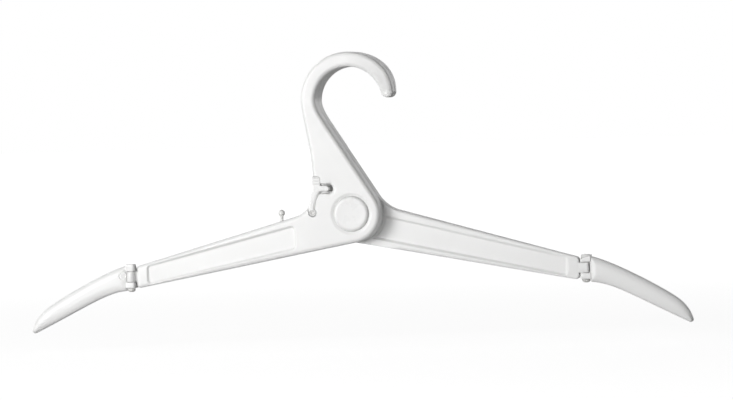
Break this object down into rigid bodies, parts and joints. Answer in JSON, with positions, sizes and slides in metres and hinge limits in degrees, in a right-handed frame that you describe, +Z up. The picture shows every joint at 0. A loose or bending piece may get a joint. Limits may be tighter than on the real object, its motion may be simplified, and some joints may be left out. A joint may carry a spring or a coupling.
{
  "type": "folding clothes hanger",
  "caption": "White plastic clothes hanger that scissors shut on a round pivot, with a split hook, a latch lever with a release knob, and shoulder wings that fold on upright pins.",
  "frame": {"origin": "the seat under the crown of the hook where the rail carries the hanger, midway between the two hook halves", "axes": "+X towards the arm of the rear half, -Y towards the side with the latch, +Z up; the arms spread along X"},
  "size_m": [0.44, 0.0266, 0.1806],
  "materials": {
    "white_plastic": "satin moulded white plastic",
    "cap_plastic": "satin moulded white plastic",
    "knob_plastic": "pale grey translucent plastic",
    "nylon": "natural nylon",
    "steel": "bright zinc-plated steel"
  },
  "bodies": {
    "front_frame": {"front_half": "white_plastic", "pivot_post": "nylon", "pivot_screw": "steel", "friction_washer": "nylon", "front_pivot_cap": "cap_plastic", "latch_pin": "nylon", "latch_spring": "steel"},
    "rear_frame": {"rear_half": "white_plastic", "rear_pivot_cap": "cap_plastic"},
    "latch": {"latch_lever": "white_plastic", "release_knob": "knob_plastic"},
    "left_shoulder": {"left_wing": "white_plastic", "left_hinge_pin": "nylon"},
    "right_shoulder": {"right_wing": "white_plastic", "right_hinge_pin": "nylon"}
  },
  "joints": [
    {"name": "arm_fold", "type": "hinge", "parent": "front_frame", "child": "rear_frame", "pos_m": [0.0005, 0, -0.096], "axis": [0, 1, 0], "range_deg": [0, 132]},
    {"name": "latch_release", "type": "hinge", "parent": "front_frame", "child": "latch", "pos_m": [-0.0254, -0.0102, -0.0948], "axis": [0, -1, 0], "range_deg": [0, 6], "stiffness_Nm_per_rad": 0.15, "springref_deg": -5.73},
    {"name": "left_wing_fold", "type": "hinge", "parent": "front_frame", "child": "left_shoulder", "pos_m": [-0.1497, -0.0095, -0.135], "axis": [0, 0, 1], "range_deg": [0, 172]},
    {"name": "right_wing_fold", "type": "hinge", "parent": "rear_frame", "child": "right_shoulder", "pos_m": [0.1507, 0.0095, -0.135], "axis": [0, 0, 1], "range_deg": [0, 172]}
  ]
}
